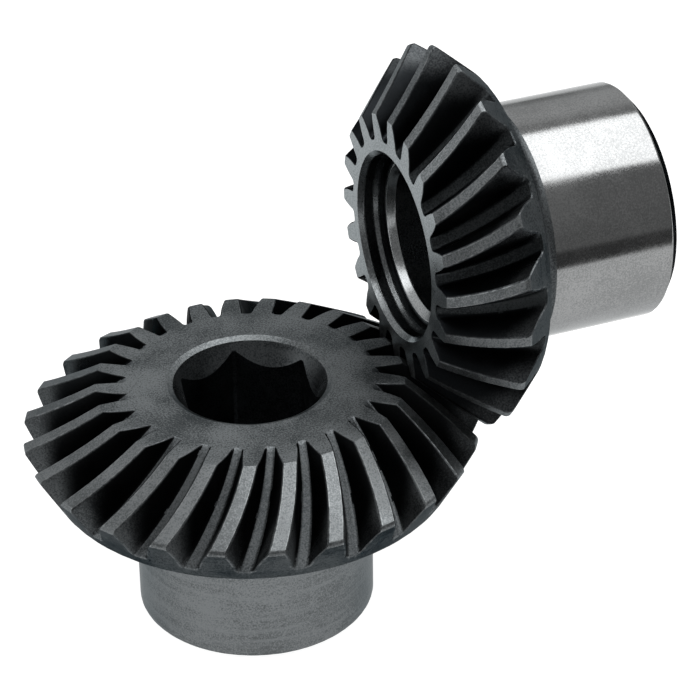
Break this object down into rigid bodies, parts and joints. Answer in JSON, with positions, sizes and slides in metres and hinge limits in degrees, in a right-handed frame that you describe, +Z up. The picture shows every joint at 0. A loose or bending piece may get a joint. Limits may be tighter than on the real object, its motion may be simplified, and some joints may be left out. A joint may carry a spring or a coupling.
{
  "type": "spiral bevel gear pair",
  "caption": "Spiral bevel ring gear with a hexagonal bore in mesh with a hubbed pinion on a plain bush, shafts crossing at a right angle.",
  "frame": {"origin": "the point where the two shaft axes cross, which is the apex of both pitch cones", "axes": "+Z up along the ring gear's axis with its teeth facing up and its hub pointing down; +X along the pinion's axis towards its hub end; +Y completes the right-handed frame"},
  "size_m": [0.1625, 0.1162, 0.1439],
  "materials": {
    "ring_gear_steel": "dark blued steel, machined matte, hub turned",
    "pinion_steel": "dark hardened teeth, bright ground hub",
    "bush_steel": "smooth bright bore"
  },
  "bodies": {
    "pinion_bush": {"pinion_bush": "bush_steel"},
    "ring_gear": {"ring_gear": "ring_gear_steel"},
    "pinion": {"pinion": "pinion_steel"}
  },
  "joints": [
    {"name": "ring_gear_spin", "type": "hinge", "parent": "pinion_bush", "child": "ring_gear", "pos_m": [0, 0, 0], "axis": [0, 0, 1], "continuous": true},
    {"name": "pinion_spin", "type": "hinge", "parent": "pinion_bush", "child": "pinion", "pos_m": [0, 0, 0], "axis": [1, 0, 0], "continuous": true}
  ],
  "couplings": [
    {"joint": "pinion_spin", "follows": "ring_gear_spin", "ratio": 1.25}
  ]
}
